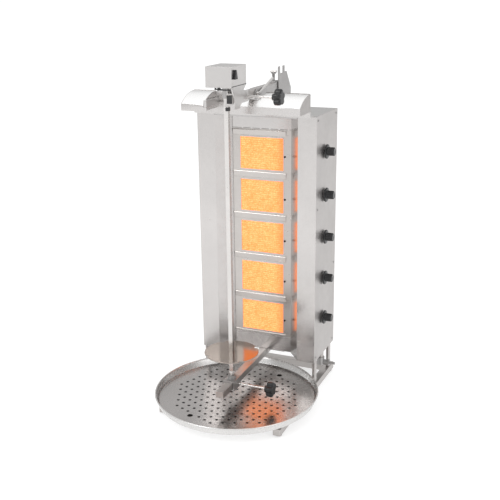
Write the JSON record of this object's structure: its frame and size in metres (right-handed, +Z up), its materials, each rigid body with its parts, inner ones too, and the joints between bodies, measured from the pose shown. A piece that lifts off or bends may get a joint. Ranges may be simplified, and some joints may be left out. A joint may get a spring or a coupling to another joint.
{
  "type": "vertical broiler",
  "caption": "Gas vertical broiler with stacked infrared burners between mirror wings, a motor-driven upright spit on sliding supports, side gas knobs and a round perforated drip tray.",
  "frame": {"origin": "on the surface it stands on, under the centre of the overall box", "axes": "+Z up, -Y the front where the spit stands, +X the side with the gas knobs"},
  "size_m": [0.5999, 0.7364, 1.238],
  "materials": {
    "steel_brushed": "brushed",
    "steel_polished": "polished",
    "steel_painted": "satin",
    "ceramic": "matte",
    "housing": "satin",
    "brass": "satin",
    "knob": "gloss",
    "rubber": "matte",
    "motor": "satin"
  },
  "bodies": {
    "stand": {"base_frame": "steel_brushed", "feet_and_end_caps": "rubber", "side_panel_right": "steel_brushed", "side_panel_left": "steel_brushed", "wing_reflectors": "steel_polished", "bottom_panel": "steel_brushed", "top_panel": "steel_brushed", "back_panel": "steel_brushed", "burner_frame": "steel_polished", "front_plates": "steel_polished", "burner_housing_1": "housing", "burner_housing_2": "housing", "burner_housing_3": "housing", "burner_housing_4": "housing", "burner_housing_5": "housing", "burner_tiles_1": "ceramic", "burner_tiles_2": "ceramic", "burner_tiles_3": "ceramic", "burner_tiles_4": "ceramic", "burner_tiles_5": "ceramic", "ignition_probes": "steel_painted", "gas_manifold": "steel_brushed", "gas_valves": "brass", "gas_injectors": "brass", "gas_inlet": "brass", "lower_arm": "steel_brushed", "arm_brackets": "steel_brushed", "upper_beam": "steel_brushed", "beam_mount": "steel_brushed", "rear_fork": "steel_brushed", "hood": "steel_polished", "hood_side_bar": "steel_polished", "panel_screws": "steel_brushed"},
    "tray": {"drip_tray": "steel_polished"},
    "insert": {"tray_insert": "steel_polished"},
    "head": {"motor_bracket": "steel_brushed", "motor_cover": "steel_brushed", "gear_motor": "motor"},
    "lower_carriage": {"lower_slider": "steel_brushed"},
    "skewer": {"spit": "steel_brushed", "spit_plate": "steel_brushed"},
    "drive": {"drive_socket": "steel_brushed"},
    "release": {"release_lever": "steel_painted"},
    "switch": {"motor_switch": "knob"},
    "top_lock": {"top_lock_screw": "steel_brushed", "top_star_knob": "knob"},
    "bottom_lock": {"bottom_lock_screw": "steel_brushed", "bottom_star_knob": "knob"},
    "clamp": {"clamp_bolt": "steel_brushed"},
    "lever": {"guide_lever": "steel_brushed"},
    "spindle_1": {"valve_spindle_1": "steel_brushed"},
    "knob_1": {"burner_knob_1": "knob"},
    "spindle_2": {"valve_spindle_2": "steel_brushed"},
    "knob_2": {"burner_knob_2": "knob"},
    "spindle_3": {"valve_spindle_3": "steel_brushed"},
    "knob_3": {"burner_knob_3": "knob"},
    "spindle_4": {"valve_spindle_4": "steel_brushed"},
    "knob_4": {"burner_knob_4": "knob"},
    "spindle_5": {"valve_spindle_5": "steel_brushed"},
    "knob_5": {"burner_knob_5": "knob"}
  },
  "joints": [
    {"name": "head_slide", "type": "slide", "parent": "stand", "child": "head", "axis": [0, 1, 0], "range_m": [-0.045, 0.015]},
    {"name": "carriage_slide", "type": "slide", "parent": "stand", "child": "lower_carriage", "axis": [0, 1, 0], "range_m": [-0.045, 0.015]},
    {"name": "spit_spin", "type": "hinge", "parent": "lower_carriage", "child": "skewer", "pos_m": [0, -0.1072, 0.2], "axis": [0, 0, 1], "continuous": true},
    {"name": "drive_spin", "type": "hinge", "parent": "head", "child": "drive", "pos_m": [0, -0.1072, 1.15], "axis": [0, 0, 1], "continuous": true},
    {"name": "tray_slide", "type": "slide", "parent": "stand", "child": "tray", "axis": [0, -1, 0], "range_m": [0, 0.35]},
    {"name": "insert_lift", "type": "slide", "parent": "tray", "child": "insert", "axis": [0, 0, 1], "range_m": [0, 0.03]},
    {"name": "release_turn", "type": "hinge", "parent": "head", "child": "release", "pos_m": [-0.024, -0.1072, 1.168], "axis": [0, 0, 1], "range_deg": [-20, 20]},
    {"name": "switch_turn", "type": "hinge", "parent": "head", "child": "switch", "pos_m": [0.05, -0.14578, 1.2124], "axis": [1, 0, 0], "range_deg": [0, 90]},
    {"name": "top_lock_turn", "type": "hinge", "parent": "head", "child": "top_lock", "pos_m": [0.1, -0.0522, 1.134], "axis": [1, 0, 0], "range_deg": [0, 720]},
    {"name": "bottom_lock_turn", "type": "hinge", "parent": "lower_carriage", "child": "bottom_lock", "pos_m": [0.09, -0.1072, 0.111], "axis": [1, 0, 0], "range_deg": [0, 720]},
    {"name": "clamp_turn", "type": "hinge", "parent": "stand", "child": "clamp", "pos_m": [0.032, 0.2278, 1.16], "axis": [0, 0, 1], "range_deg": [0, 180]},
    {"name": "lever_swing", "type": "hinge", "parent": "stand", "child": "lever", "pos_m": [0.05, 0.0378, 1.131], "axis": [1, 0, 0], "range_deg": [0, 60]},
    {"name": "knob_push_1", "type": "slide", "parent": "stand", "child": "spindle_1", "axis": [-1, 0, 0], "range_m": [0, 0.004], "stiffness_N_per_m": 500, "springref_m": -0.004},
    {"name": "knob_turn_1", "type": "hinge", "parent": "spindle_1", "child": "knob_1", "pos_m": [0.25, 0.2258, 0.912], "axis": [1, 0, 0], "range_deg": [-270, 0]},
    {"name": "knob_push_2", "type": "slide", "parent": "stand", "child": "spindle_2", "axis": [-1, 0, 0], "range_m": [0, 0.004], "stiffness_N_per_m": 500, "springref_m": -0.004},
    {"name": "knob_turn_2", "type": "hinge", "parent": "spindle_2", "child": "knob_2", "pos_m": [0.25, 0.2258, 0.753], "axis": [1, 0, 0], "range_deg": [-270, 0]},
    {"name": "knob_push_3", "type": "slide", "parent": "stand", "child": "spindle_3", "axis": [-1, 0, 0], "range_m": [0, 0.004], "stiffness_N_per_m": 500, "springref_m": -0.004},
    {"name": "knob_turn_3", "type": "hinge", "parent": "spindle_3", "child": "knob_3", "pos_m": [0.25, 0.2258, 0.594], "axis": [1, 0, 0], "range_deg": [-270, 0]},
    {"name": "knob_push_4", "type": "slide", "parent": "stand", "child": "spindle_4", "axis": [-1, 0, 0], "range_m": [0, 0.004], "stiffness_N_per_m": 500, "springref_m": -0.004},
    {"name": "knob_turn_4", "type": "hinge", "parent": "spindle_4", "child": "knob_4", "pos_m": [0.25, 0.2258, 0.435], "axis": [1, 0, 0], "range_deg": [-270, 0]},
    {"name": "knob_push_5", "type": "slide", "parent": "stand", "child": "spindle_5", "axis": [-1, 0, 0], "range_m": [0, 0.004], "stiffness_N_per_m": 500, "springref_m": -0.004},
    {"name": "knob_turn_5", "type": "hinge", "parent": "spindle_5", "child": "knob_5", "pos_m": [0.25, 0.2258, 0.276], "axis": [1, 0, 0], "range_deg": [-270, 0]}
  ],
  "couplings": [
    {"joint": "carriage_slide", "follows": "head_slide", "ratio": 1},
    {"joint": "drive_spin", "follows": "spit_spin", "ratio": 1}
  ]
}
